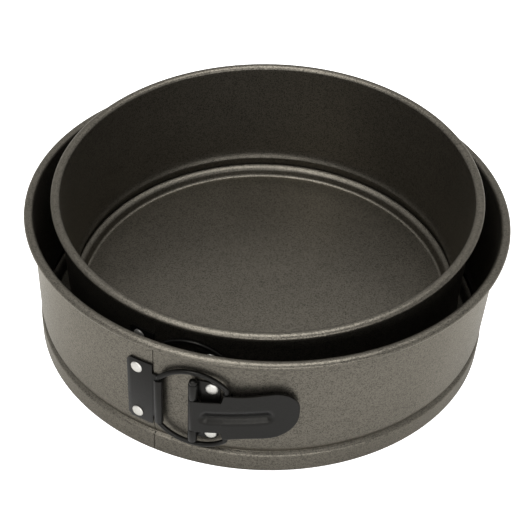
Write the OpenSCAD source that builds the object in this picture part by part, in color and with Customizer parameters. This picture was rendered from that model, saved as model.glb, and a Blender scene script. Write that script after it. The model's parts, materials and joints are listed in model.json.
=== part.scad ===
// Nested pair of springform cake pans: a small pan standing inside a large one.
// Each pan is a sheet band, a loose base held in the band's groove, and a toggle latch that
// pulls the band's two ends together. The large pan's latch works: its lever carries the two
// ends of a wire bail over the hinge pin, and the band springs open.
// Origin: centre of the large pan, on the plane it stands on. +Z is up, through the open top.

/* [Pans] */
// Inside diameter of the large pan
outer_d = 228.6; // [200:0.1:280]
// Inside diameter of the small pan
inner_d = 202; // [160:0.1:203]
// Height of each pan, from the table to the top of its rolled rim
pan_h = 71.4; // [60:0.1:90]
// Thickness of the sheet steel
sheet = 0.6; // [0.4:0.05:0.8]
// How much the wall narrows from the rim down to the crease
taper = 0.5; // [0:0.1:1.5]

/* [Rim] */
// Width of the rolled rim
rim_w = 4.7; // [3.6:0.1:6]
// Height of the rolled rim
rim_h = 3.7; // [3:0.1:5]

/* [Groove and bead] */
// Height of the inward crease above the table
crease_z = 11.8; // [10:0.1:14]
// Depth of the crease, inward from the wall
crease_depth = 1.7; // [0.8:0.1:2]
// How far the bead below the crease stands out from the wall
bead_out = 0.5; // [0.2:0.1:1]
// Width of the lip turned in under the base
lip_w = 3.2; // [2:0.1:5]

/* [Base] */
// Height of the floor's top face above the table
floor_z = 1.4; // [1.2:0.1:2]
// Height of the base's raised border above the table
border_z = 5.9; // [4:0.1:7]
// Width of the raised border, from its foot to the outer edge
border_w = 4.2; // [3.5:0.1:6]
// Gap between the base's edge and the bead, all round
base_gap = 0.15; // [0.05:0.05:0.3]

/* [Latch] */
// Direction of the split between the band's ends
split_az = -118.1; // [-180:0.1:180]
// Height of the latch's middle
latch_z = 37.5; // [34:0.1:42]
// Thickness of the latch's plates
plate_t = 0.9; // [0.7:0.05:1.1]
// Diameter of the bail's wire
wire_d = 2.4; // [2:0.1:2.6]
// Diameter of the hinge pin
pin_d = 2.5; // [2:0.1:2.8]
// Distance along the wall from the split to the bail's leg
hook_arc = 4; // [3.6:0.1:5]
// Distance along the wall from the split to the hinge pin
hinge_arc = 20.3; // [19:0.1:22]
// Distance along the wall from the split to the lever's eyes
eye_arc = 35.1; // [34:0.1:36]
// Length of the lever, from the hinge pin to its tip
lever_len = 46.9; // [42:0.1:50]
// Height of the lever's thumb plate
lever_h = 27.2; // [24:0.1:28]
// Rise of the thumb plate towards its tip
lever_cant = 7; // [0:0.5:7.5]

/* [Nesting] */
// Centre of the small pan's foot, from the large pan's centre
inner_at = [1.65, 6.16, 8.3]; // [-10:0.01:20]
// Lean of the small pan: its axis per unit of height, along X and Y
inner_lean = [-0.026, -0.055]; // [-0.06:0.001:0.06]
// How far the small pan is turned, clockwise from above
inner_turn = 4; // [0:0.5:6]

/* [Hidden] */

$fn = 96;
fine = 48;
half = sheet / 2;
rim_z = pan_h - rim_h / 2;
running_gap = 0.05;         // radial clearance of every pin and rivet in its hole
seat_gap = 0.05;            // between a plate and the wall it is riveted to
end_gap = 0.1;              // between the two ends of a band
edge_step = 0.1;            // from a plate's edge to the end of the ring on it
far = 400;                  // longer than anything here

outer_wall = outer_d / 2 + sheet;
inner_wall = inner_d / 2 + sheet;

// Radial stand-off of the latch's axes from the wall
knuckle_r = pin_d / 2 + running_gap + plate_t;
curl_r = wire_d / 2 + running_gap + plate_t;
hinge_out = 2.9;
hook_out = 2.55;
eye_out = 2.5;
eye_r = wire_d / 2 + 0.1;
eye_wall = 0.4;

// Heights on the latch, measured from its middle
plate_half = 18.6;
curl_half = 13.2;
bracket_half = 17.6;
bow_r = 21.3;
bow_start = 40.4;
elbow_r = 2;
lug_z = lever_h / 2;

// Heights on the hinge, measured from its own middle, which is hinge_drop below the latch's
hinge_drop = 1.7;
hinge_z = latch_z - hinge_drop;
knuckle_top = 18.6;
knuckle_foot = 16.9;
root_half = 9.4;
side_gap = 0.35;

// Distances along the wall from the split
plate_start = -13.3;
hook_rivet_arc = -8;
bracket_rivet_arc = 28.2;
bracket_end = 32;
rivet_rise = 14;
rivet_d = 3;
rivet_head_r = 2.9;
rivet_head_h = 1;
rivet_tail_r = 2.4;
rivet_tail_h = 0.6;

graphite = [0.36, 0.34, 0.31];
black = [0.14, 0.14, 0.14];
bright = [0.85, 0.84, 0.80];

// ---- Helpers ----

// Angle that an arc length takes on a circle
function turn(arc, r) = arc / r * 180 / PI;
function unit(v) = v / norm(v);
function side(v) = [-v.y, v.x];
function arc_points(c, rx, rz, a0, a1, n) =
    [for (i = [0:n]) let (a = a0 + (a1 - a0) * i / n) [c.x + rx * cos(a), c.y + rz * sin(a)]];

// Mitred normal of a path at one of its points
function normal_at(path, i) =
    let (a = i == 0 ? path[1] - path[0] : path[i] - path[i - 1],
         b = i == len(path) - 1 ? a : path[i + 1] - path[i],
         na = side(unit(a)), nb = side(unit(b)), m = unit(na + nb)) m / (m * na);

// Closed outline of a sheet whose middle follows a path
function strip(path, t) = concat(
    [for (i = [0:len(path) - 1]) path[i] + normal_at(path, i) * t / 2],
    [for (i = [len(path) - 1:-1:0]) path[i] - normal_at(path, i) * t / 2]);

// Everything that follows is drawn at an angle round the pan's axis, standing off it by r
module at(az, r, z = 0) {
    rotate([0, 0, az]) translate([r, 0, z]) children();
}

module ring_sector(az0, az1) {
    rotate([0, 0, az0]) rotate_extrude(angle = az1 - az0, $fn = 360) children();
}

// Plate bent to the wall's curve, between two arc lengths and two heights
module curved_plate(wall, out, t, arc0, arc1, z0, z1) {
    ring_sector(split_az + turn(arc0, wall), split_az + turn(arc1, wall))
        translate([wall + out, z0]) square([t, z1 - z0]);
}

// Flat outline, looked at from outside along a radius, pushed out through the wall
module seen_along_radius(az) {
    rotate([0, 0, az]) rotate([90, 0, 90]) linear_extrude(far) children();
}

// ---- Band and base ----

// Middle of the band's sheet, from the turned-in lip up to the end of the rolled rim
function band_path(r) =
    let (wall_r = r + half, low_r = wall_r - taper, bead_r = low_r + bead_out,
         bend = 0.8, roll_w = (rim_w - sheet) / 2, roll_h = (rim_h - sheet) / 2)
    concat(
        [[bead_r - lip_w, half]],
        arc_points([bead_r - bend, half + bend], bend, bend, -90, 0, 5),
        arc_points([bead_r - bend, crease_z - 1.9], bend, bend, 0, 50, 3),
        arc_points([low_r - crease_depth + 0.45, crease_z], 0.45, 0.45, 230, 120, 4),
        [[low_r - 1.1, crease_z + 2.2], [low_r - 0.35, crease_z + 4.2], [low_r, crease_z + 6.4]],
        arc_points([wall_r + roll_w, rim_z], roll_w, roll_h, 180, -130, 24));

module band_outline(r) {
    polygon(strip(band_path(r), sheet));
}

// Middle of the base's sheet, from the axis out to its turned-down edge
function base_path(r) =
    let (edge_r = r + half - taper + bead_out - half - base_gap - half,
         foot_r = edge_r - border_w + half, top = border_z - half, low = floor_z - half)
    concat(
        [[0, low], [foot_r - 0.5, low], [foot_r, low + 0.25]],
        [[foot_r + 1.3, top - 1.2], [foot_r + 1.8, top - 0.4], [foot_r + 2.4, top]],
        arc_points([edge_r - 1, top - 1], 1, 1, 90, 0, 5),
        [[edge_r, sheet + 0.3]]);

module base(r) {
    color(graphite) rotate_extrude($fn = 360) polygon(strip(base_path(r), sheet));
}

// Rivet holes through the band
module band_holes(wall, arc) {
    az = split_az + turn(arc, wall);
    for (z = [-rivet_rise, rivet_rise])
        at(az, wall - 3, latch_z + z) rotate([0, 90, 0])
            cylinder(h = 6, d = rivet_d + 2 * running_gap, $fn = fine);
}

// Half of the large pan's band on the hook's side of the split
module outer_band_hook_side() {
    gap = turn(end_gap / 2, outer_wall);
    color(graphite) difference() {
        ring_sector(split_az - 180 + gap, split_az - gap) band_outline(outer_d / 2);
        band_holes(outer_wall, hook_rivet_arc);
    }
}

// Half on the lever's side, with a tongue that reaches behind the other end
module outer_band_lever_side() {
    gap = turn(end_gap / 2, outer_wall);
    tongue = 4.5;
    low = crease_z + 6;
    high = rim_z - rim_h / 2 - 1;
    color(graphite) {
        difference() {
            ring_sector(split_az + gap, split_az + 180 - gap) band_outline(outer_d / 2);
            band_holes(outer_wall, bracket_rivet_arc);
        }
        curved_plate(outer_d / 2, -taper - sheet - 0.1, sheet, -tongue, tongue, low, high);
        curved_plate(outer_d / 2, -taper - 0.2, taper + 0.4, 0.6, tongue, low, high);
    }
}

// The small pan's band, closed
module inner_band() {
    color(graphite) difference() {
        ring_sector(split_az + turn(end_gap, inner_wall), split_az + 360)
            band_outline(inner_d / 2);
        band_holes(inner_wall, hook_rivet_arc);
        band_holes(inner_wall, bracket_rivet_arc);
    }
}

// ---- Latch ----

// Domed rivet head outside, shank through plate and wall, flattened tail inside
module rivets(wall, arc) {
    dome_r = (rivet_head_r * rivet_head_r + rivet_head_h * rivet_head_h) / (2 * rivet_head_h);
    head = seat_gap + plate_t + 0.02;
    tail = sheet + taper + 0.05;
    az = split_az + turn(arc, wall);
    color(bright) for (z = [-rivet_rise, rivet_rise])
        at(az, wall, latch_z + z) rotate([0, 90, 0]) {
            translate([0, 0, -tail]) cylinder(h = tail + head + 0.2, d = rivet_d, $fn = fine);
            translate([0, 0, -tail - rivet_tail_h])
                cylinder(h = rivet_tail_h, r = rivet_tail_r, $fn = fine);
            intersection() {
                translate([0, 0, head + rivet_head_h - dome_r]) sphere(dome_r, $fn = fine);
                translate([0, 0, head]) cylinder(h = rivet_head_h + 1, r = 2 * rivet_head_r);
            }
        }
}

// Part of a rolled knuckle: a ring round an axis, open between two angles
module knuckle(inner_r, outer_r, a0, a1, z0, z1) {
    rotate([0, 0, a0]) rotate_extrude(angle = a1 - a0, $fn = fine)
        translate([inner_r, z0]) square([outer_r - inner_r, z1 - z0]);
}

// Plate bent to the wall's curve and cut to an outline of arc length by height. The outline
// is looked at from outside, and mid is the arc length that is looked at squarely.
module wall_plate(wall, mid) {
    az = split_az + turn(mid, wall);
    reach = 20;
    intersection() {
        curved_plate(wall, seat_gap, plate_t, mid - reach, mid + reach,
                     latch_z - 2 * reach, latch_z + 2 * reach);
        translate([0, 0, latch_z]) seen_along_radius(az) translate([-mid, 0]) children();
    }
}

// Riveted plate with a tongue that is curled into the hook for the bail's leg
module hook_plate(wall) {
    a = plate_start;
    b = hook_arc - 0.2;
    h = plate_half;
    t = curl_half - edge_step;
    cut = 1.8;
    color(black) difference() {
        union() {
            wall_plate(wall, (a + b) / 2)
                polygon([[a + cut, -h], [0, -h], [0, -t], [b, -t], [b, t], [0, t],
                         [0, h], [a + cut, h], [a, h - cut], [a, -h + cut]]);
            at(split_az + turn(hook_arc, wall), wall + hook_out)
                knuckle(wire_d / 2 + running_gap, curl_r, -60, 200, latch_z - curl_half,
                        latch_z + curl_half);
        }
        band_holes(wall, hook_rivet_arc);
    }
}

// Riveted plate with two knuckles for the hinge pin, notched where the lever turns
module lever_bracket(wall) {
    a = hinge_arc - 0.4;
    b = bracket_end;
    notch = hinge_arc + knuckle_r + 0.8;
    h = bracket_half;
    n = root_half + side_gap;
    cut = 2.8;
    color(black) difference() {
        union() {
            wall_plate(wall, (a + b) / 2)
                polygon([[a, -h], [b - cut, -h], [b, cut - h], [b, h - cut], [b - cut, h], [a, h],
                         [a, n - hinge_drop], [notch, n - hinge_drop],
                         [notch, -n - hinge_drop], [a, -n - hinge_drop]]);
            for (span = [[n, knuckle_top], [-knuckle_foot, -n]])
                at(split_az + turn(hinge_arc, wall), wall + hinge_out,
                   hinge_z + span[0] + edge_step)
                    cylinder(h = span[1] - span[0] - 2 * edge_step, r = knuckle_r, $fn = fine);
        }
        at(split_az + turn(hinge_arc, wall), wall + hinge_out, hinge_z)
            cylinder(h = 3 * h, d = pin_d + 2 * running_gap, center = true, $fn = fine);
        band_holes(wall, bracket_rivet_arc);
    }
}

// Pin with a tall domed head, through the bracket's knuckles and the lever's root
module hinge_pin(wall) {
    r = pin_d / 2;
    head_r = 1.9;
    tail_r = 1.8;
    stem_h = 1.3;
    dome_h = 1.1;
    tail_h = 0.25;
    end = knuckle_top + 0.05;
    foot = -knuckle_foot - 0.05;
    top = end + stem_h;
    color(black) at(split_az + turn(hinge_arc, wall), wall + hinge_out, hinge_z)
        rotate_extrude($fn = fine)
            polygon(concat(
                [[0, foot - tail_h], [tail_r, foot - tail_h], [tail_r, foot], [r, foot], [r, end],
                 [head_r, end]],
                arc_points([0, top], head_r, dome_h, 0, 75, 5), [[0, top + dome_h]]));
}

// Outline raised in step with the distance from the hinge pin
function canted(points) = [for (p = points) [p.x, p.y + p.x * tan(lever_cant)]];

// Thumb plate, root and rounded end, looked at from outside; x runs from the hinge pin
module lever_outline() {
    shoulder = 13.5;
    r = 12;
    h = lever_h / 2;
    polygon(canted(concat(
        [[0, -root_half], [shoulder, -root_half], [shoulder, -h + 1], [shoulder + 1, -h],
         [lever_len * 0.5, -h + 0.5]],
        arc_points([lever_len - r, -h + r], r, r, -90, -10, 7),
        arc_points([lever_len - r, h - r], r, r, 10, 90, 7),
        [[lever_len * 0.5, h - 0.5], [shoulder + 1, h], [shoulder, h - 1],
         [shoulder, root_half], [0, root_half]])));
}

module groove_outline(grow) {
    r = 2.4 + grow;
    polygon(canted(concat(
        arc_points([6.8, 0], r, r, 90, 270, 10), arc_points([32.8, 0], r, r, -90, 90, 10))));
}

module shell(r0, r1) {
    difference() {
        cylinder(h = 100, r = r1, $fn = 360);
        translate([0, 0, -1]) cylinder(h = 102, r = r0, $fn = 360);
    }
}

// Lever: a curved thumb plate with a pressed channel, a rolled root and two eyes for the bail
module lever(wall) {
    hinge_az = split_az + turn(hinge_arc, wall);
    eye_az = split_az + turn(eye_arc, wall);
    axis_r = wall + hinge_out;
    face_out = axis_r + knuckle_r - 0.05;
    face_in = face_out - plate_t;
    press = 0.6;
    bite = 0.3;
    close_in = 2.6;
    lug_r = eye_r + eye_wall;
    color(black) difference() {
        union() {
            at(hinge_az, axis_r) rotate([0, 0, close_in]) translate([-axis_r, 0, 0]) difference() {
                union() {
                    intersection() {
                        shell(face_in, face_out);
                        translate([0, 0, hinge_z]) seen_along_radius(0) lever_outline();
                    }
                    intersection() {
                        shell(face_in - press, face_in + bite);
                        translate([0, 0, hinge_z]) seen_along_radius(0) groove_outline(0.6);
                    }
                }
                intersection() {
                    shell(face_out - press, face_out + 3);
                    translate([0, 0, hinge_z]) seen_along_radius(0) groove_outline(0);
                }
            }
            at(hinge_az, axis_r, hinge_z)
                cylinder(h = 2 * (root_half - edge_step), r = knuckle_r, center = true, $fn = fine);
            for (s = [-1, 1])
                at(eye_az, wall + eye_out, latch_z + eye_lift() + s * (lug_z - plate_t / 2)) {
                    cylinder(h = plate_t, r = lug_r, center = true, $fn = fine);
                    translate([lug_r / 2, 0, 0]) cube([lug_r, 1.9 * lug_r, plate_t], center = true);
                }
        }
        at(hinge_az, axis_r, hinge_z)
            cylinder(h = 3 * root_half, r = pin_d / 2 + running_gap, center = true, $fn = fine);
        for (s = [-1, 1])
            at(eye_az, wall + eye_out, latch_z + eye_lift() + s * (lug_z - plate_t / 2))
                cylinder(h = 3 * plate_t, r = eye_r, center = true, $fn = fine);
    }
}

// The lever's eyes are this much above the latch's middle
function eye_lift() = (eye_arc - hinge_arc) * tan(lever_cant) - hinge_drop;

// Bend of the bail's wire, round a centre in the plane of the loop
module bend(c, r, a0, a1, d = wire_d) {
    translate(c) rotate(a0) rotate_extrude(angle = a1 - a0) translate([r, 0])
        circle(d = d, $fn = fine);
}

// Tight bend, a hair thinner than the wire, with both ends bedded inside its neighbours
module elbow(c, a0, a1) {
    bed = 4;
    bend(c, elbow_r, a0 - bed, a1 + bed, wire_d - 0.04);
}

// Wire loop: a leg in the hook's curl, and two bowed arms that reach past the ends of the
// hinge pin to the lever's eyes. tip is the height at which the arms' turned-in ends stop.
module bail(wall, tip) {
    hook = polar(split_az + turn(hook_arc, wall), wall + hook_out);
    eye = polar(split_az + turn(eye_arc, wall), wall + eye_out);
    reach = norm(eye - hook);
    leg = curl_half + 0.2;
    // The arm heads off at bow_start from the leg's line, and bows round to bow_end
    bow_end = acos(cos(bow_start) - (reach - 2 * elbow_r) / (bow_r - elbow_r));
    bow_c = [elbow_r + (bow_r - elbow_r) * cos(bow_start),
             leg - (bow_r - elbow_r) * sin(bow_start)];
    arm_end = leg + (bow_r - elbow_r) * (sin(bow_end) - sin(bow_start));
    color(black) translate([hook.x, hook.y, latch_z])
        rotate([90, 0, atan2(eye.y - hook.y, eye.x - hook.x)]) {
            rotate([90, 0, 0]) cylinder(h = 2 * leg, d = wire_d, center = true, $fn = fine);
            for (flip = [0, 1]) mirror([0, flip, 0]) {
                elbow([elbow_r, leg], 180 - bow_start, 180);
                bend(bow_c, bow_r, 180 - bow_end, 180 - bow_start);
                elbow([reach - elbow_r, arm_end], 0, 180 - bow_end);
                translate([reach, arm_end, 0]) rotate([90, 0, 0])
                    cylinder(h = arm_end - tip, d = wire_d, $fn = fine);
            }
        }
}

function polar(a, r) = [r * cos(a), r * sin(a)];

// ---- The small pan's place inside the large one ----

module nested() {
    translate(inner_at) multmatrix(lean_matrix()) rotate([0, 0, -inner_turn]) children();
}

function lean_matrix() =
    let (z = unit([inner_lean.x, inner_lean.y, 1]), x = unit([z.z, 0, -z.x]), y = cross(z, x))
    [[x.x, y.x, z.x, 0], [x.y, y.y, z.y, 0], [x.z, y.z, z.z, 0], [0, 0, 0, 1]];

clear_tip = lug_z + 1;              // the working bail stops short of the lever's eyes
seated_tip = lug_z - plate_t - 0.8; // the still one goes through them

base(outer_d / 2);  // outer_base
outer_band_hook_side();
outer_band_lever_side();
hook_plate(outer_wall);  // outer_hook_plate
rivets(outer_wall, hook_rivet_arc);  // outer_hook_rivets
lever_bracket(outer_wall);  // outer_lever_bracket
rivets(outer_wall, bracket_rivet_arc);  // outer_bracket_rivets
hinge_pin(outer_wall);  // outer_hinge_pin
lever(outer_wall);  // outer_lever
bail(outer_wall, clear_tip);  // outer_bail
nested() base(inner_d / 2);  // inner_base
nested() inner_band();
nested() hook_plate(inner_wall);  // inner_hook_plate
nested() rivets(inner_wall, hook_rivet_arc);  // inner_hook_rivets
nested() lever_bracket(inner_wall);  // inner_lever_bracket
nested() rivets(inner_wall, bracket_rivet_arc);  // inner_bracket_rivets
nested() hinge_pin(inner_wall);  // inner_hinge_pin
nested() lever(inner_wall);  // inner_lever
nested() bail(inner_wall, seated_tip);  // inner_bail
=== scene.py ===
import json
import math

import bmesh
import bpy
from mathutils import Matrix, Vector


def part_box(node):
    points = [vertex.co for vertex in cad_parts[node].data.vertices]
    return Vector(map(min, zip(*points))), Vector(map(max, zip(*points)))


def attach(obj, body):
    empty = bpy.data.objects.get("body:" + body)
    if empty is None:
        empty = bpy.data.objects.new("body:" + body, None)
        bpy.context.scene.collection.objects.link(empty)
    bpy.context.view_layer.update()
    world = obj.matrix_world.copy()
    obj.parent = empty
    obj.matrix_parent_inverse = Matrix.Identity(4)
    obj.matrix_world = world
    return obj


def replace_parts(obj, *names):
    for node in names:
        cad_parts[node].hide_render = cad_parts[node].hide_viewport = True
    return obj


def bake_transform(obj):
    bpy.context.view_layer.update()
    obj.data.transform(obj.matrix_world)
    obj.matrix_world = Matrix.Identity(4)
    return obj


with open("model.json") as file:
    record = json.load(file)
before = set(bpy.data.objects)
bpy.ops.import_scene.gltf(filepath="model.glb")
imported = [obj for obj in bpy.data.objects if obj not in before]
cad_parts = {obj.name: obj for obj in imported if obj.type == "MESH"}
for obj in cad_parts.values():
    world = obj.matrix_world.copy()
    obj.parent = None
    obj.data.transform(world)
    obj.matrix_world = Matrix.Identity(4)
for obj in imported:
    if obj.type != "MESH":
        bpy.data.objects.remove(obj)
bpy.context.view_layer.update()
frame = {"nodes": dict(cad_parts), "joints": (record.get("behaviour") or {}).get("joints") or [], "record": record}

# A nested pair of springform pans in coated steel, each with a toggle latch. Every piece is
# bent, pressed or rolled like the real sheet or wire, and stands for its node of the CAD part.
# Lengths are in millimetres until a mesh is made, and angles are in degrees.
MM = 0.001
JOINT_AT = {joint["name"]: joint.get("pos_m") for joint in frame["joints"]}

# ---- Sizes of the CAD part ----

# Pans: inside radius of each wall, height, sheet, and how much a wall narrows towards its foot
OUTER_R = 114.3
INNER_R = 101
PAN_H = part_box("outer_band_hook_side")[1].z / MM
SHEET = 0.6
HALF = SHEET / 2
TAPER = 0.5
OUTER_WALL = OUTER_R + SHEET
INNER_WALL = INNER_R + SHEET

# Rolled rim, inward crease, bead below the crease, and lip turned in under the base
RIM_W, RIM_H = 4.7, 3.7
RIM_Z = PAN_H - RIM_H / 2
CREASE_Z, CREASE_DEPTH = 11.8, 1.7
BEAD_OUT, LIP_W = 0.5, 3.2

# Base: its floor, its raised border, and the gap between its edge and the bead
FLOOR_Z, BORDER_Z, BORDER_W = 1.4, 5.9, 4.2
BASE_GAP = 0.15

# Latch: direction of the split, and heights of the latch's middle and the hinge pin's middle
SPLIT = -118.1
LATCH_Z = JOINT_AT["outer_bail_hinge"][2] / MM
HINGE_DROP = 1.7
HINGE_Z = LATCH_Z - HINGE_DROP

# Plates, the seat between a plate and the wall, wire, pin, and what is rolled round them
PLATE_T = 0.9
SEAT = 0.05
RUNNING_GAP = 0.05
WIRE_R, CURL_R = 1.2, 2.15
PIN_R, KNUCKLE_R = 1.25, 2.2

# Distances along the wall from the split, and the stand-off of the three axes from the wall
HOOK_ARC, HINGE_ARC, EYE_ARC = 4, 20.3, 35.1
HOOK_OUT, HINGE_OUT, EYE_OUT = 2.55, 2.9, 2.5
PLATE_START, BRACKET_END = -13.3, 32
HOOK_RIVET_ARC, BRACKET_RIVET_ARC = -8, 28.2

# Heights of the latch's pieces above and below its middle, and the gap beside the lever's root
PLATE_HALF, CURL_HALF, BRACKET_HALF, RIVET_RISE = 18.6, 13.2, 17.6, 14
ROOT_HALF, SIDE_GAP, KNUCKLE_TOP, KNUCKLE_FOOT = 9.4, 0.35, 18.6, 16.9

# Lever: its plate, how much it rises per millimetre of length, and its turn towards the wall
LEVER_LEN, LEVER_H, TIP_R = 46.9, 27.2, 12
LEVER_RISE = math.tan(math.radians(7))
CLOSE_IN = 2.6

# Bail: radius and first angle of its bowed arms, and radius of its corners
BOW_R, BOW_START, ELBOW_R = 21.3, 40.4, 2

# Place, lean and turn of the small pan, which stands in the large one
INNER_AT = (1.65, 6.16, 8.3)
INNER_LEAN = (-0.026, -0.055)
INNER_TURN = 4

# ---- Sizes that only the looks need ----

SLIT = math.degrees(0.2 / OUTER_WALL)   # half of the gap between the large band's ends
INNER_SLIT = 0.06                       # the whole gap between the small band's ends
RIM_CLOSE = 0.9                         # share of the gap that is taken up at the rim
BACK_HALF = 26                          # half of the stretch of band that bends at the back
BORDER_SLOPE = 1.1                      # height of the border's crest above BORDER_Z
STRIP = 1.3                             # width of the flats in a plate bent to the wall
PLATE_EASE = 0.22                       # rounding of a plate's edges
LEVER_EASE = 0.13                       # and of the lever's
SHARP_ANGLE = 35                        # edges steeper than this are not shaded smooth
TURNED_STEPS, WIRE_STEPS = 40, 18       # facets round a pin or a rivet, and round the wire

UPRIGHT = Matrix.Identity(4)
LEAN_Z = Vector((*INNER_LEAN, 1)).normalized()
LEAN_X = Vector((LEAN_Z.z, 0, -LEAN_Z.x)).normalized()
LEAN_Y = LEAN_Z.cross(LEAN_X)
NESTED = (Matrix.Translation(INNER_AT)
          @ Matrix((LEAN_X, LEAN_Y, LEAN_Z)).transposed().to_4x4()
          @ Matrix.Rotation(math.radians(-INNER_TURN), 4, "Z"))


# ---- Paths ----

def polar(azimuth, radius, z=0.0):
    a = math.radians(azimuth)
    return Vector((radius * math.cos(a), radius * math.sin(a), z))


def wall_azimuth(wall, s):
    """Direction of a point that lies an arc length s from the split."""
    return SPLIT + math.degrees(s / wall)


def wall_point(wall, s, z, out):
    """A point by arc length from the split, height from the latch's middle, and stand-off."""
    return polar(wall_azimuth(wall, s), wall + out, LATCH_Z + z)


def spread(start, end, step):
    """Numbers from start, a step apart, that stop short of end."""
    return [start + step * i for i in range(math.ceil((end - start) / step))]


def arc(centre, rx, rz, a0, a1, step=8):
    n = max(2, math.ceil(abs(a1 - a0) / step))
    angles = [math.radians(a0 + (a1 - a0) * i / n) for i in range(n + 1)]
    return [(centre[0] + rx * math.cos(a), centre[1] + rz * math.sin(a)) for a in angles]


def rounded(points, radius, step=12):
    """An open path with its inner corners rounded off."""
    out = [points[0]]
    for before, corner, after in zip(points, points[1:], points[2:]):
        p, c, q = Vector(before), Vector(corner), Vector(after)
        a, b = (p - c), (q - c)
        cut = min(radius, a.length * 0.45, b.length * 0.45)
        start, end = c + a.normalized() * cut, c + b.normalized() * cut
        n = max(2, math.ceil(math.degrees(a.angle(-b)) / step))
        for i in range(n + 1):
            t = i / n
            out.append(tuple(start * (1 - t) ** 2 + c * (2 * t * (1 - t)) + end * t ** 2))
    out.append(points[-1])
    return out


def sheet_sides(path, thickness):
    """The two sides of a sheet whose middle follows a path in the (radius, height) plane."""
    pts = [Vector(p) for p in path]
    left, right = [], []
    for i, p in enumerate(pts):
        a = (pts[max(i, 1)] - pts[max(i, 1) - 1]).normalized()
        b = (pts[min(i + 1, len(pts) - 1)] - pts[min(i, len(pts) - 2)]).normalized()
        mid = (a + b).normalized()
        normal = Vector((-mid.y, mid.x))
        reach = thickness / 2 / max(0.5, normal.dot(Vector((-a.y, a.x))))
        left.append(p + normal * reach)
        right.append(p - normal * reach)
    return left, right


def smooth(t):
    """Eases from 0 to 1."""
    t = min(1.0, max(0.0, t))
    return t * t * (3 - 2 * t)


# ---- Meshes ----

def make_object(name, bm, material, place=UPRIGHT):
    bmesh.ops.recalc_face_normals(bm, faces=bm.faces)
    mesh = bpy.data.meshes.new(name)
    bm.to_mesh(mesh)
    bm.free()
    mesh.transform(Matrix.Scale(MM, 4) @ place)
    mesh.shade_smooth()
    mesh.set_sharp_from_angle(angle=math.radians(SHARP_ANGLE))
    mesh.materials.append(material)
    obj = bpy.data.objects.new(name, mesh)
    bpy.context.scene.collection.objects.link(obj)
    return obj


def add_to(bm, part):
    """Moves a finished bmesh into another."""
    mesh = bpy.data.meshes.new("part")
    part.to_mesh(mesh)
    part.free()
    bm.from_mesh(mesh)
    bpy.data.meshes.remove(mesh)


def skin(bm, rings, full=False):
    """Joins each ring of points to the next, and the last to the first in a full turn.
    A ring may be a single point, where a solid comes to its axis."""
    for a, b in list(zip(rings, rings[1:])) + ([(rings[-1], rings[0])] if full else []):
        count = max(len(a), len(b))
        for k in range(count):
            m = (k + 1) % count
            corners = [a[k % len(a)], b[k % len(b)], b[m % len(b)], a[m % len(a)]]
            bm.faces.new(list(dict.fromkeys(corners)))


def round_angles(steps):
    return [2 * math.pi * k / steps for k in range(steps)]


def lathe_sheet(bm, path, thickness, az0=0.0, az1=360.0, step=1.0):
    """A bent sheet turned round the pan's axis, closed at its ends unless it is a full ring."""
    left, right = sheet_sides(path, thickness)
    loop = left + right[::-1]
    full = abs(az1 - az0 - 360) < 1e-6
    turns = math.ceil((az1 - az0) / step)
    stops = [az0 + (az1 - az0) * j / turns for j in range(turns if full else turns + 1)]
    if not full:
        # Short segments keep the rubbed edge narrow at a cut end
        short = 0.07
        stops[1:1] = [az0 + short, az0 + 2 * short]
        stops[-1:-1] = [az1 - 2 * short, az1 - short]
    rings = [[bm.verts.new(polar(az, p.x, p.y)) for p in loop] for az in stops]
    skin(bm, rings, full)
    if not full:
        for ring in (rings[0], rings[-1]):
            for k in range(len(left) - 1):
                bm.faces.new((ring[k], ring[k + 1], ring[-2 - k], ring[-1 - k]))


def turned(bm, profile, place):
    """A solid of revolution about a local Z axis; the profile's first and last radius are 0."""
    rings = []
    for r, z in profile:
        around = round_angles(TURNED_STEPS) if r > 0 else [0]
        rings.append([bm.verts.new(place @ Vector((r * math.cos(a), r * math.sin(a), z)))
                      for a in around])
    skin(bm, rings)


def swept(bm, points, radius):
    """A round wire along a path that lies in one plane, with rounded-off ends."""
    pts = [Vector(p) for p in points]
    plane = (pts[1] - pts[0]).cross(pts[len(pts) // 3] - pts[0]).normalized()
    rings = []
    for i, p in enumerate(pts):
        along = (pts[min(i + 1, len(pts) - 1)] - pts[max(i - 1, 0)]).normalized()
        across = along.cross(plane).normalized()
        from_end = min(i, len(pts) - 1 - i)
        r = radius * (0.55, 0.85, 1.0)[min(from_end, 2)]
        rings.append([bm.verts.new(p + (across * math.cos(a) + plane * math.sin(a)) * r)
                      for a in round_angles(WIRE_STEPS)])
    skin(bm, rings)
    bm.faces.new(rings[0])
    bm.faces.new(rings[-1])


def sharp_edges(bm, limit=40):
    bmesh.ops.recalc_face_normals(bm, faces=bm.faces)
    return [e for e in bm.edges if e.is_manifold and math.degrees(e.calc_face_angle(0)) > limit]


def ease_edges(bm, edges, offset):
    bmesh.ops.bevel(bm, geom=edges, offset=offset, segments=2, profile=0.5, affect="EDGES")


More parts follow.
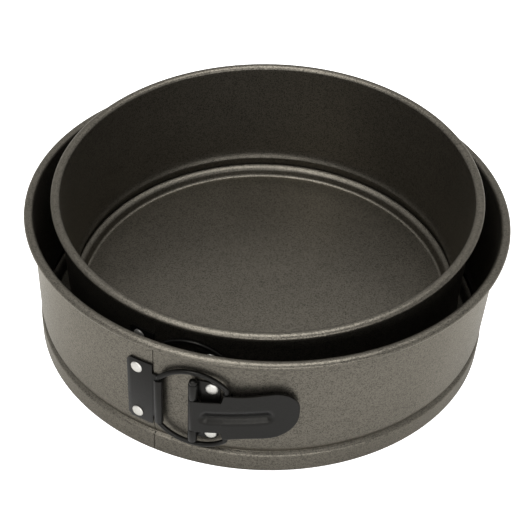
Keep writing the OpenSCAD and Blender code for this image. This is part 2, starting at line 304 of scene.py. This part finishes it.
def wall_plate(bm, outline, wall):
    """A plate cut to an outline of arc length by height, eased at its edges, bent to the wall."""
    part = bmesh.new()
    part.faces.new([part.verts.new((x, z, 0)) for x, z in outline])
    low, high = min(p[0] for p in outline), max(p[0] for p in outline)
    for x in spread(low + STRIP, high, STRIP):
        everything = part.verts[:] + part.edges[:] + part.faces[:]
        bmesh.ops.bisect_plane(part, geom=everything, plane_co=(x, 0, 0), plane_no=(1, 0, 0))
    grown = bmesh.ops.extrude_face_region(part, geom=part.faces[:])["geom"]
    bmesh.ops.translate(part, vec=(0, 0, PLATE_T),
                        verts=[v for v in grown if isinstance(v, bmesh.types.BMVert)])
    ease_edges(part, sharp_edges(part), PLATE_EASE)
    for v in part.verts:
        v.co = wall_point(wall, v.co.x, v.co.y, SEAT + v.co.z)
    add_to(bm, part)


def ring_part(bm, centre, facing, radii, angles, heights, ease=0.2):
    """A stretch of a rolled ring about an upright axis, with eased edges. Its angles are from the
    way it faces, and its heights from the latch's middle."""
    part = bmesh.new()
    (inner, outer), (a0, a1), (z0, z1) = radii, angles, heights
    steps = max(3, math.ceil((a1 - a0) / 9))
    full = a1 - a0 >= 360
    section = [(inner, z0), (outer, z0), (outer, z1), (inner, z1)]
    rings = []
    for j in range(steps if full else steps + 1):
        az = facing + a0 + (a1 - a0) * j / steps
        rings.append([part.verts.new(centre + polar(az, r, LATCH_Z + z)) for r, z in section])
    skin(part, rings, full)
    if not full:
        part.faces.new(rings[0])
        part.faces.new(rings[-1])
    ease_edges(part, sharp_edges(part), ease)
    add_to(bm, part)


# ---- Materials ----

def nodes_of(material):
    material.use_nodes = True
    tree = material.node_tree
    return tree.nodes, tree.links, tree.nodes["Principled BSDF"]


def value_ramp(nodes, links, source, low, high, to_low, to_high):
    node = nodes.new("ShaderNodeMapRange")
    node.inputs["From Min"].default_value = low
    node.inputs["From Max"].default_value = high
    node.inputs["To Min"].default_value = to_low
    node.inputs["To Max"].default_value = to_high
    links.new(source, node.inputs["Value"])
    return node.outputs["Result"]


def product(nodes, links, a, b):
    node = nodes.new("ShaderNodeMath")
    node.operation = "MULTIPLY"
    links.new(a, node.inputs[0])
    links.new(b, node.inputs[1])
    return node.outputs["Value"]


def texture(nodes, links, coords, kind, scale, detail):
    node = nodes.new("ShaderNodeTex" + kind)
    node.inputs["Scale"].default_value = scale
    node.inputs["Detail"].default_value = detail
    links.new(coords, node.inputs["Vector"])
    return node


def coated_metal(name, colour, metallic, roughness, grain, grain_scale, bump, wear, specular=0.5):
    """A coating with grains that catch the light, slow clouding, a fine tooth, and rubbed edges.
    Scales are in cells to the metre, and grain and wear are shares of the colour."""
    material = bpy.data.materials.new(name)
    nodes, links, shader = nodes_of(material)
    coords = nodes.new("ShaderNodeTexCoord").outputs["Object"]
    flakes = texture(nodes, links, coords, "Voronoi", grain_scale, 2)
    flake = nodes.new("ShaderNodeSeparateColor")
    links.new(flakes.outputs["Color"], flake.inputs["Color"])

    speck = value_ramp(nodes, links, flake.outputs["Red"], 0, 1, 1 - grain, 1 + grain)
    clouds = texture(nodes, links, coords, "Noise", 38, 4)
    cloud = value_ramp(nodes, links, clouds.outputs["Fac"], 0.3, 0.7, 0.95, 1.05)
    edge = nodes.new("ShaderNodeNewGeometry").outputs["Pointiness"]
    rubbed = value_ramp(nodes, links, edge, 0.53, 0.60, 1.0, 1.0 + wear)
    shade = product(nodes, links, product(nodes, links, speck, cloud), rubbed)
    tint = nodes.new("ShaderNodeVectorMath")
    tint.operation = "SCALE"
    tint.inputs["Vector"].default_value = colour
    links.new(shade, tint.inputs["Scale"])
    links.new(tint.outputs["Vector"], shader.inputs["Base Color"])

    gloss = value_ramp(nodes, links, flake.outputs["Green"], 0, 1, roughness - 0.05,
                       roughness + 0.07)
    links.new(gloss, shader.inputs["Roughness"])
    shader.inputs["Metallic"].default_value = metallic
    shader.inputs["Specular IOR Level"].default_value = specular
    shader.inputs["Specular Tint"].default_value = (1.0, 0.97, 0.90, 1)

    tooth = texture(nodes, links, coords, "Noise", grain_scale * 0.8, 3)
    bumped = nodes.new("ShaderNodeBump")
    bumped.inputs["Strength"].default_value = bump
    bumped.inputs["Distance"].default_value = 0.12 * MM
    links.new(tooth.outputs["Fac"], bumped.inputs["Height"])
    links.new(bumped.outputs["Normal"], shader.inputs["Normal"])
    return material


graphite = coated_metal("graphite_coating", (0.070, 0.064, 0.053), metallic=0.95, roughness=0.34,
                        grain=0.75, grain_scale=2100, bump=1.0, wear=0.5)
latch_black = coated_metal("latch_black", (0.0015, 0.0014, 0.0013), metallic=0.0, roughness=0.30,
                           grain=0.15, grain_scale=1400, bump=0.3, wear=3.0, specular=0.18)
rivet_metal = coated_metal("rivet_metal", (0.47, 0.46, 0.43), metallic=0.85, roughness=0.38,
                           grain=0.05, grain_scale=900, bump=0.15, wear=0.0)


# ---- Bands and bases ----

def band_path(r):
    """Middle of the band's sheet, from the turned-in lip up to the end of the rolled rim."""
    wall_r = r + HALF
    low_r = wall_r - TAPER
    bead_r = low_r + BEAD_OUT
    groove_r = low_r - CREASE_DEPTH
    bend = 0.8
    roll_w, roll_h = (RIM_W - SHEET) / 2, (RIM_H - SHEET) / 2
    foot = ([(bead_r - LIP_W, HALF)] + arc((bead_r - bend, HALF + bend), bend, bend, -90, 0)
            + [(bead_r, CREASE_Z - 4)])
    crease = rounded([(bead_r, CREASE_Z - 3.4), (bead_r, CREASE_Z - 1.5),
                      (groove_r + 0.05, CREASE_Z - 0.3), (groove_r + 0.1, CREASE_Z + 0.4),
                      (low_r - 0.5, CREASE_Z + 2.4), (low_r, CREASE_Z + 5.2),
                      (low_r + 0.02, CREASE_Z + 9)], 1.3)
    rim = arc((wall_r + roll_w, RIM_Z), roll_w, roll_h, 180, -130)
    return foot + crease + [(wall_r, PAN_H - RIM_H - 1)] + rim


def base_path(r):
    """Middle of the base's sheet, from near the axis out to its turned-down edge."""
    edge_r = r - TAPER + BEAD_OUT - BASE_GAP - HALF
    foot_r = edge_r - BORDER_W + HALF
    top, low = BORDER_Z - HALF, FLOOR_Z - HALF
    crest = top + BORDER_SLOPE
    bend = 0.6
    step = rounded([(foot_r - 4, low), (foot_r, low), (foot_r + 0.9, top - 0.3),
                    (edge_r - 0.7, crest)], 2.1, 9)
    floor = [(edge_r * k / 24, low) for k in range(23)]
    edge = arc((edge_r - bend, crest - 0.55), bend, bend, 100, 0)
    return floor + step[:-1] + edge + [(edge_r, SHEET + 0.3)]


def meet_at_rim(bm, az, shift):
    """Turns the rim's cut end towards the other end, so that only the wall shows a slit."""
    turn = Matrix.Rotation(math.radians(shift), 3, "Z")
    for v in bm.verts:
        apart = (math.degrees(math.atan2(v.co.y, v.co.x)) - az + 180) % 360 - 180
        if v.co.z > PAN_H - RIM_H and abs(apart) < 0.01:
            v.co = turn @ v.co


def band_piece(name, r, az0, az1, place=UPRIGHT):
    bm = bmesh.new()
    lathe_sheet(bm, band_path(r), SHEET, az0, az1)
    # Only the ends of the large band stand where these two look
    meet_at_rim(bm, SPLIT + SLIT, -RIM_CLOSE * SLIT)
    meet_at_rim(bm, SPLIT - SLIT, RIM_CLOSE * SLIT)
    return make_object(name, bm, graphite, place)


def tongue_piece(name):
    """The strip behind the split, which closes it from the inside."""
    bm = bmesh.new()
    path = [(OUTER_R - TAPER - 0.4, z) for z in range(18, 67, 4)]
    half_width = math.degrees(4.5 / OUTER_R)
    lathe_sheet(bm, path, SHEET, SPLIT - half_width, SPLIT + half_width, 0.5)
    return make_object(name, bm, graphite)


def base_piece(name, r, place=UPRIGHT):
    bm = bmesh.new()
    lathe_sheet(bm, base_path(r), SHEET, step=2.0)
    # The points at the centre fall together
    bmesh.ops.remove_doubles(bm, verts=bm.verts, dist=1e-4)
    bmesh.ops.dissolve_degenerate(bm, edges=bm.edges, dist=1e-4)
    return make_object(name, bm, graphite, place)


# ---- Latch ----

def hook_plate(name, wall, place):
    """Riveted plate whose edge is rolled round the bail's leg."""
    bm = bmesh.new()
    left, right, cut = PLATE_START, HOOK_ARC - 0.2, 1.8
    high, curl = PLATE_HALF, CURL_HALF
    wall_plate(bm, [(left + cut, -high), (0, -high), (0, -curl), (right, -curl), (right, curl),
                    (0, curl), (0, high), (left + cut, high), (left, high - cut),
                    (left, cut - high)], wall)
    az = wall_azimuth(wall, HOOK_ARC)
    ring_part(bm, polar(az, wall + HOOK_OUT), az, (WIRE_R + RUNNING_GAP, CURL_R), (-60, 200),
              (-curl, curl))
    return make_object(name, bm, latch_black, place)


def bracket(name, wall, place):
    """Riveted plate with a knuckle above and below the lever's root."""
    bm = bmesh.new()
    left, right, cut = HINGE_ARC - 0.4, BRACKET_END, 2.8
    notch = HINGE_ARC + KNUCKLE_R + 0.8
    high, root = BRACKET_HALF, ROOT_HALF + SIDE_GAP
    wall_plate(bm, [(left, -high), (right - cut, -high), (right, cut - high),
                    (right, high - cut), (right - cut, high), (left, high),
                    (left, root - HINGE_DROP), (notch, root - HINGE_DROP),
                    (notch, -root - HINGE_DROP), (left, -root - HINGE_DROP)], wall)
    az = wall_azimuth(wall, HINGE_ARC)
    for z0, z1 in ((-KNUCKLE_FOOT, -root), (root, KNUCKLE_TOP)):
        ring_part(bm, polar(az, wall + HINGE_OUT), az, (PIN_R + RUNNING_GAP, KNUCKLE_R), (0, 360),
                  (z0 - HINGE_DROP, z1 - HINGE_DROP))
    return make_object(name, bm, latch_black, place)


def rivets(name, wall, s, place):
    """A pair of rivets, one above the other, with domed heads and flattened tails."""
    bm = bmesh.new()
    az = wall_azimuth(wall, s)
    head, tail = SEAT + PLATE_T + 0.02, SHEET + TAPER + 0.05
    head_r, tail_r, shank_r, dome_h = 2.9, 2.4, 1.5, 0.8
    bottom = tail + 0.6
    dome = ([(head_r, head), (head_r - 0.02, head + 0.22)]
            + arc((0, head + 0.2), head_r - 0.1, dome_h, 8, 90)[:-1] + [(0, head + 0.2 + dome_h)])
    profile = [(0, -bottom), (tail_r - 0.3, -bottom), (tail_r, 0.25 - bottom), (tail_r, -tail),
               (shank_r, -tail), (shank_r, head)] + dome
    turn_out = (Matrix.Rotation(math.radians(az), 4, "Z")
                @ Matrix.Rotation(math.radians(90), 4, "Y"))
    for z in (-RIVET_RISE, RIVET_RISE):
        turned(bm, profile, Matrix.Translation(polar(az, wall, LATCH_Z + z)) @ turn_out)
    return make_object(name, bm, rivet_metal, place)


def hinge_pin(name, wall, place):
    """Pin with a domed head above the upper knuckle and a spread foot below the lower one."""
    bm = bmesh.new()
    foot, end = -KNUCKLE_FOOT - 0.05, KNUCKLE_TOP + 0.05
    head_r, neck_r, stem_h, dome_h = 1.9, 1.8, 1.3, 1.1
    dome = arc((0, end + stem_h), head_r, dome_h, 0, 80, 10) + [(0, end + stem_h + dome_h)]
    profile = [(0, foot - 0.25), (neck_r - 0.15, foot - 0.25), (neck_r, foot - 0.15),
               (neck_r, foot), (PIN_R, foot), (PIN_R, end), (neck_r, end),
               (head_r, end + 0.12)] + dome
    centre = polar(wall_azimuth(wall, HINGE_ARC), wall + HINGE_OUT, HINGE_Z)
    turned(bm, profile, Matrix.Translation(centre))
    return make_object(name, bm, latch_black, place)


def lever_stations():
    """Distances from the hinge pin, closer together at the shoulder and round the tip."""
    tip_start = LEVER_LEN - TIP_R
    return (spread(0, 12.5, 0.5) + spread(12.5, 14.8, 0.2) + spread(15.0, tip_start, 0.5)
            + [tip_start + TIP_R * math.sin(math.radians(a)) for a in range(3, 91, 3)])


def lever_reach(x):
    """Half the lever's height at a distance from the hinge pin."""
    full = LEVER_H / 2
    tip_start = LEVER_LEN - TIP_R
    if x > tip_start:
        across = min(TIP_R, x - tip_start)
        return full - TIP_R + math.sqrt(TIP_R ** 2 - across ** 2) + 0.001
    shoulder = ROOT_HALF + (full - ROOT_HALF) * smooth((x - 13.0) / 1.5)
    waist = 0.5 * smooth((x - 15) / 7) * (1 - smooth((x - 24) / 11))
    return shoulder - waist


def lever_press(x, z):
    """Depth of the channel that is pressed along the lever. Its upper side slopes more gently."""
    start, end, end_slope = 6.8, 32.8, 4.0
    middle, above, below = -0.8, 5.0, 3.5
    depth = 2.0
    along = (x - min(end, max(start, x))) / end_slope
    across = (z - middle) / (above if z > middle else below)
    t = max(0, 1 - math.hypot(along, across))
    return depth * (t + smooth(t)) / 2


def thumb_plate(bm, wall):
    """The lever's pressed plate, flush with the outside of its rolled root."""
    axis_r = wall + HINGE_OUT
    hinge_az = wall_azimuth(wall, HINGE_ARC)
    turn = (Matrix.Rotation(math.radians(hinge_az), 4, "Z")
            @ Matrix.Translation((axis_r, 0, HINGE_Z))
            @ Matrix.Rotation(math.radians(CLOSE_IN), 4, "Z")
            @ Matrix.Translation((-axis_r, 0, 0)))
    rows = 40
    part = bmesh.new()
    sides = []
    for back in (0, PLATE_T):
        side = []
        for x in lever_stations():
            line = []
            for k in range(rows + 1):
                z = lever_reach(x) * (2 * k / rows - 1)
                r = axis_r + KNUCKLE_R - back - lever_press(x, z)
                corner = Vector((math.sqrt(r * r - x * x), x, z + x * LEVER_RISE))
                line.append(part.verts.new(turn @ corner))
            side.append(line)
        sides.append(side)
    front, rear = sides
    # Each station is a ring: across the front, and back across the rear
    rings = [a + b[::-1] for a, b in zip(front, rear)]
    skin(part, rings)
    for ring in (rings[0], rings[-1]):
        for k in range(rows):
            part.faces.new((ring[k], ring[k + 1], ring[-2 - k], ring[-1 - k]))
    root = set(rings[0])
    edges = [e for e in sharp_edges(part, 60) if not root.issuperset(e.verts)]
    ease_edges(part, edges, LEVER_EASE)
    add_to(bm, part)


def lever(name, wall, place):
    """Thumb plate, rolled root on the hinge pin, and an eye above and below for the bail."""
    bm = bmesh.new()
    thumb_plate(bm, wall)
    hinge_az = wall_azimuth(wall, HINGE_ARC)
    ring_part(bm, polar(hinge_az, wall + HINGE_OUT), hinge_az, (PIN_R + RUNNING_GAP, KNUCKLE_R),
              (14, 363), (-ROOT_HALF - HINGE_DROP, ROOT_HALF - HINGE_DROP))
    eye_az = wall_azimuth(wall, EYE_ARC)
    lift = (EYE_ARC - HINGE_ARC) * LEVER_RISE - HINGE_DROP
    lug, hole = LEVER_H / 2, WIRE_R + 0.1
    for z0, z1 in ((-lug, -lug + PLATE_T), (lug - PLATE_T, lug)):
        ring_part(bm, polar(eye_az, wall + EYE_OUT), eye_az, (hole, hole + 0.45), (0, 360),
                  (z0 + lift, z1 + lift), 0.12)
    return make_object(name, bm, latch_black, place)


def bail(name, wall, place):
    """Wire loop: a leg in the hook's curl, and two bowed arms to the lever's eyes."""
    hook = polar(wall_azimuth(wall, HOOK_ARC), wall + HOOK_OUT)
    eye = polar(wall_azimuth(wall, EYE_ARC), wall + EYE_OUT)
    across = (eye - hook).normalized()
    reach = (eye - hook).length
    leg = CURL_HALF + 0.2
    swing = BOW_R - ELBOW_R
    start = math.radians(BOW_START)
    bow_end = math.degrees(math.acos(math.cos(start) - (reach - 2 * ELBOW_R) / swing))
    bow = (ELBOW_R + swing * math.cos(start), leg - swing * math.sin(start))
    arm_end = leg + swing * (math.sin(math.radians(bow_end)) - math.sin(start))
    lift = (EYE_ARC - HINGE_ARC) * LEVER_RISE - HINGE_DROP
    tip = LEVER_H / 2 - PLATE_T - 0.8

    def arm(drop):
        return (arc((ELBOW_R, leg), ELBOW_R, ELBOW_R, 180, 180 - BOW_START, 6)
                + arc(bow, BOW_R, BOW_R, 180 - BOW_START, 180 - bow_end, 3)[1:]
                + arc((reach - ELBOW_R, arm_end), ELBOW_R, ELBOW_R, 180 - bow_end, 0, 6)[1:]
                + [(reach, arm_end - (arm_end - drop) * k / 6) for k in range(1, 7)])

    upper = arm(tip + lift)
    lower = [(u, -v) for u, v in arm(tip - lift)]
    path = lower[::-1] + [(0, -leg + 2 * leg * k / 12) for k in range(1, 12)] + upper
    bm = bmesh.new()
    swept(bm, [hook + across * u + Vector((0, 0, LATCH_Z + v)) for u, v in path], WIRE_R)
    return make_object(name, bm, latch_black, place)


# ---- Assembly ----

def stand_for(piece, body, node):
    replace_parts(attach(piece, body), node)


def build_outer_band():
    """The large band is one sheet: its two ends ride on their bodies; its back, which bends on the pan, stays
    fixed.
    """
    back_az = SPLIT + 180
    left = band_piece("outer_band_left", OUTER_R, back_az + BACK_HALF, SPLIT + 360 - SLIT)
    stand_for(left, "outer_hook_side", "outer_band_hook_side")
    right = band_piece("outer_band_right", OUTER_R, SPLIT + SLIT, back_az - BACK_HALF)
    stand_for(right, "outer_lever_side", "outer_band_lever_side")
    stand_for(tongue_piece("outer_band_tongue"), "outer_lever_side", "outer_band_lever_side")

    back = band_piece("outer_band_back", OUTER_R, back_az - BACK_HALF, back_az + BACK_HALF)
    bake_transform(back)
    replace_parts(back, "outer_band_hook_side", "outer_band_lever_side")


def build_latch(pan, wall, place, hook_side, lever_side, lever_body, bail_body):
    """All the pieces of one pan's latch, each on the body that carries it."""
    stand_for(hook_plate(f"{pan}_hook_plate_bent", wall, place), hook_side, f"{pan}_hook_plate")
    stand_for(rivets(f"{pan}_hook_rivets_domed", wall, HOOK_RIVET_ARC, place), hook_side,
              f"{pan}_hook_rivets")
    stand_for(bracket(f"{pan}_bracket_bent", wall, place), lever_side, f"{pan}_lever_bracket")
    stand_for(rivets(f"{pan}_bracket_rivets_domed", wall, BRACKET_RIVET_ARC, place), lever_side,
              f"{pan}_bracket_rivets")
    stand_for(hinge_pin(f"{pan}_pin_domed", wall, place), lever_side, f"{pan}_hinge_pin")
    stand_for(lever(f"{pan}_lever_pressed", wall, place), lever_body, f"{pan}_lever")
    stand_for(bail(f"{pan}_bail_wire", wall, place), bail_body, f"{pan}_bail")


build_outer_band()
stand_for(base_piece("outer_base_pan", OUTER_R), "root", "outer_base")
build_latch("outer", OUTER_WALL, UPRIGHT, "outer_hook_side", "outer_lever_side", "outer_lever",
            "outer_bail")

stand_for(base_piece("inner_base_pan", INNER_R, NESTED), "inner_pan", "inner_base")
stand_for(band_piece("inner_band_ring", INNER_R, SPLIT + INNER_SLIT, SPLIT + 360, NESTED),
          "inner_pan", "inner_band")
build_latch("inner", INNER_WALL, NESTED, "inner_pan", "inner_pan", "inner_pan", "inner_pan")

# The CAD nodes stand behind these pieces, and carry the same finishes
finishes = {"coated_steel": graphite, "latch_black": latch_black, "rivet_metal": rivet_metal}
for row in frame["record"]["subparts"]:
    mesh = frame["nodes"][row["node"]].data
    mesh.materials.clear()
    mesh.materials.append(finishes[row["material_slot"]])


# ---- Floor, light and camera, in metres and watts ----

def studio_floor(size, drop):
    """A plain floor that is white to the camera, and throws some light back at the object."""
    bm = bmesh.new()
    bm.faces.new([bm.verts.new((x, y, -drop)) for x, y in
                  ((-size, -size), (size, -size), (size, size), (-size, size))])
    mesh = bpy.data.meshes.new("studio_floor")
    bm.to_mesh(mesh)
    bm.free()
    floor = bpy.data.objects.new("studio_floor", mesh)
    bpy.context.scene.collection.objects.link(floor)
    material = bpy.data.materials.new("floor_white")
    nodes, links, shader = nodes_of(material)
    shader.inputs["Base Color"].default_value = (0.85, 0.85, 0.85, 1)
    shader.inputs["Roughness"].default_value = 0.8
    shader.inputs["Emission Color"].default_value = (1, 1, 1, 1)
    seen = nodes.new("ShaderNodeLightPath").outputs["Is Camera Ray"]
    links.new(seen, shader.inputs["Emission Strength"])
    mesh.materials.append(material)


def studio_world(strength):
    world = bpy.data.worlds.new("studio")
    world.use_nodes = True
    background = world.node_tree.nodes["Background"]
    background.inputs["Color"].default_value = (1, 1, 1, 1)
    background.inputs["Strength"].default_value = strength
    bpy.context.scene.world = world


def soft_light(name, place, target, size, power):
    data = bpy.data.lights.new(name, "AREA")
    data.shape = "RECTANGLE"
    data.size, data.size_y = size
    data.energy = power
    light = bpy.data.objects.new(name, data)
    light.location = place
    light.rotation_euler = (Vector(target) - Vector(place)).to_track_quat("-Z", "Y").to_euler()
    bpy.context.scene.collection.objects.link(light)


def studio_camera(aim, distance, tilt, roll, lens, shift):
    """A camera in front of the pans, looking down on them, on a 36 mm sensor. Its view is shifted
    off the lens's axis, but only while the camera stands in its own place."""
    data = bpy.data.cameras.new("camera")
    data.sensor_width = 36
    data.lens = lens
    camera = bpy.data.objects.new("camera", data)
    bpy.context.scene.collection.objects.link(camera)
    away = Vector((0, -math.cos(math.radians(tilt)), math.sin(math.radians(tilt))))
    camera.location = Vector(aim) + away * distance
    camera.rotation_mode = "QUATERNION"
    camera.rotation_quaternion = ((-away).to_track_quat("-Z", "Y")
                                  @ Matrix.Rotation(math.radians(roll), 3, "Z").to_quaternion())
    bpy.context.scene.camera = camera
    for channel, value in zip(("shift_x", "shift_y"), shift):
        driver = data.driver_add(channel).driver
        variable = driver.variables.new()
        variable.name = "y"
        variable.targets[0].id = camera
        variable.targets[0].data_path = "location.y"
        driver.expression = f"{value} if abs(y - {camera.location.y:.6f}) < 0.0001 else 0"


studio_floor(size=6.0, drop=0.0002)
studio_world(0.75)
soft_light("overhead", (0.0, -0.05, 1.1), (0, 0, 0), (0.8, 0.6), 10)
soft_light("front", (0.15, -1.4, 0.42), (0, 0, 0.03), (1.6, 0.35), 11)
soft_light("front_left", (-0.5, -0.62, 0.95), (0, 0, 0.03), (0.16, 0.5), 5)
bpy.context.scene.view_settings.view_transform = "Standard"
studio_camera(aim=(-0.041977, 0, -0.068088), distance=0.69756, tilt=45.176, roll=0.104,
              lens=82.20, shift=(0.16135, 0.25116))
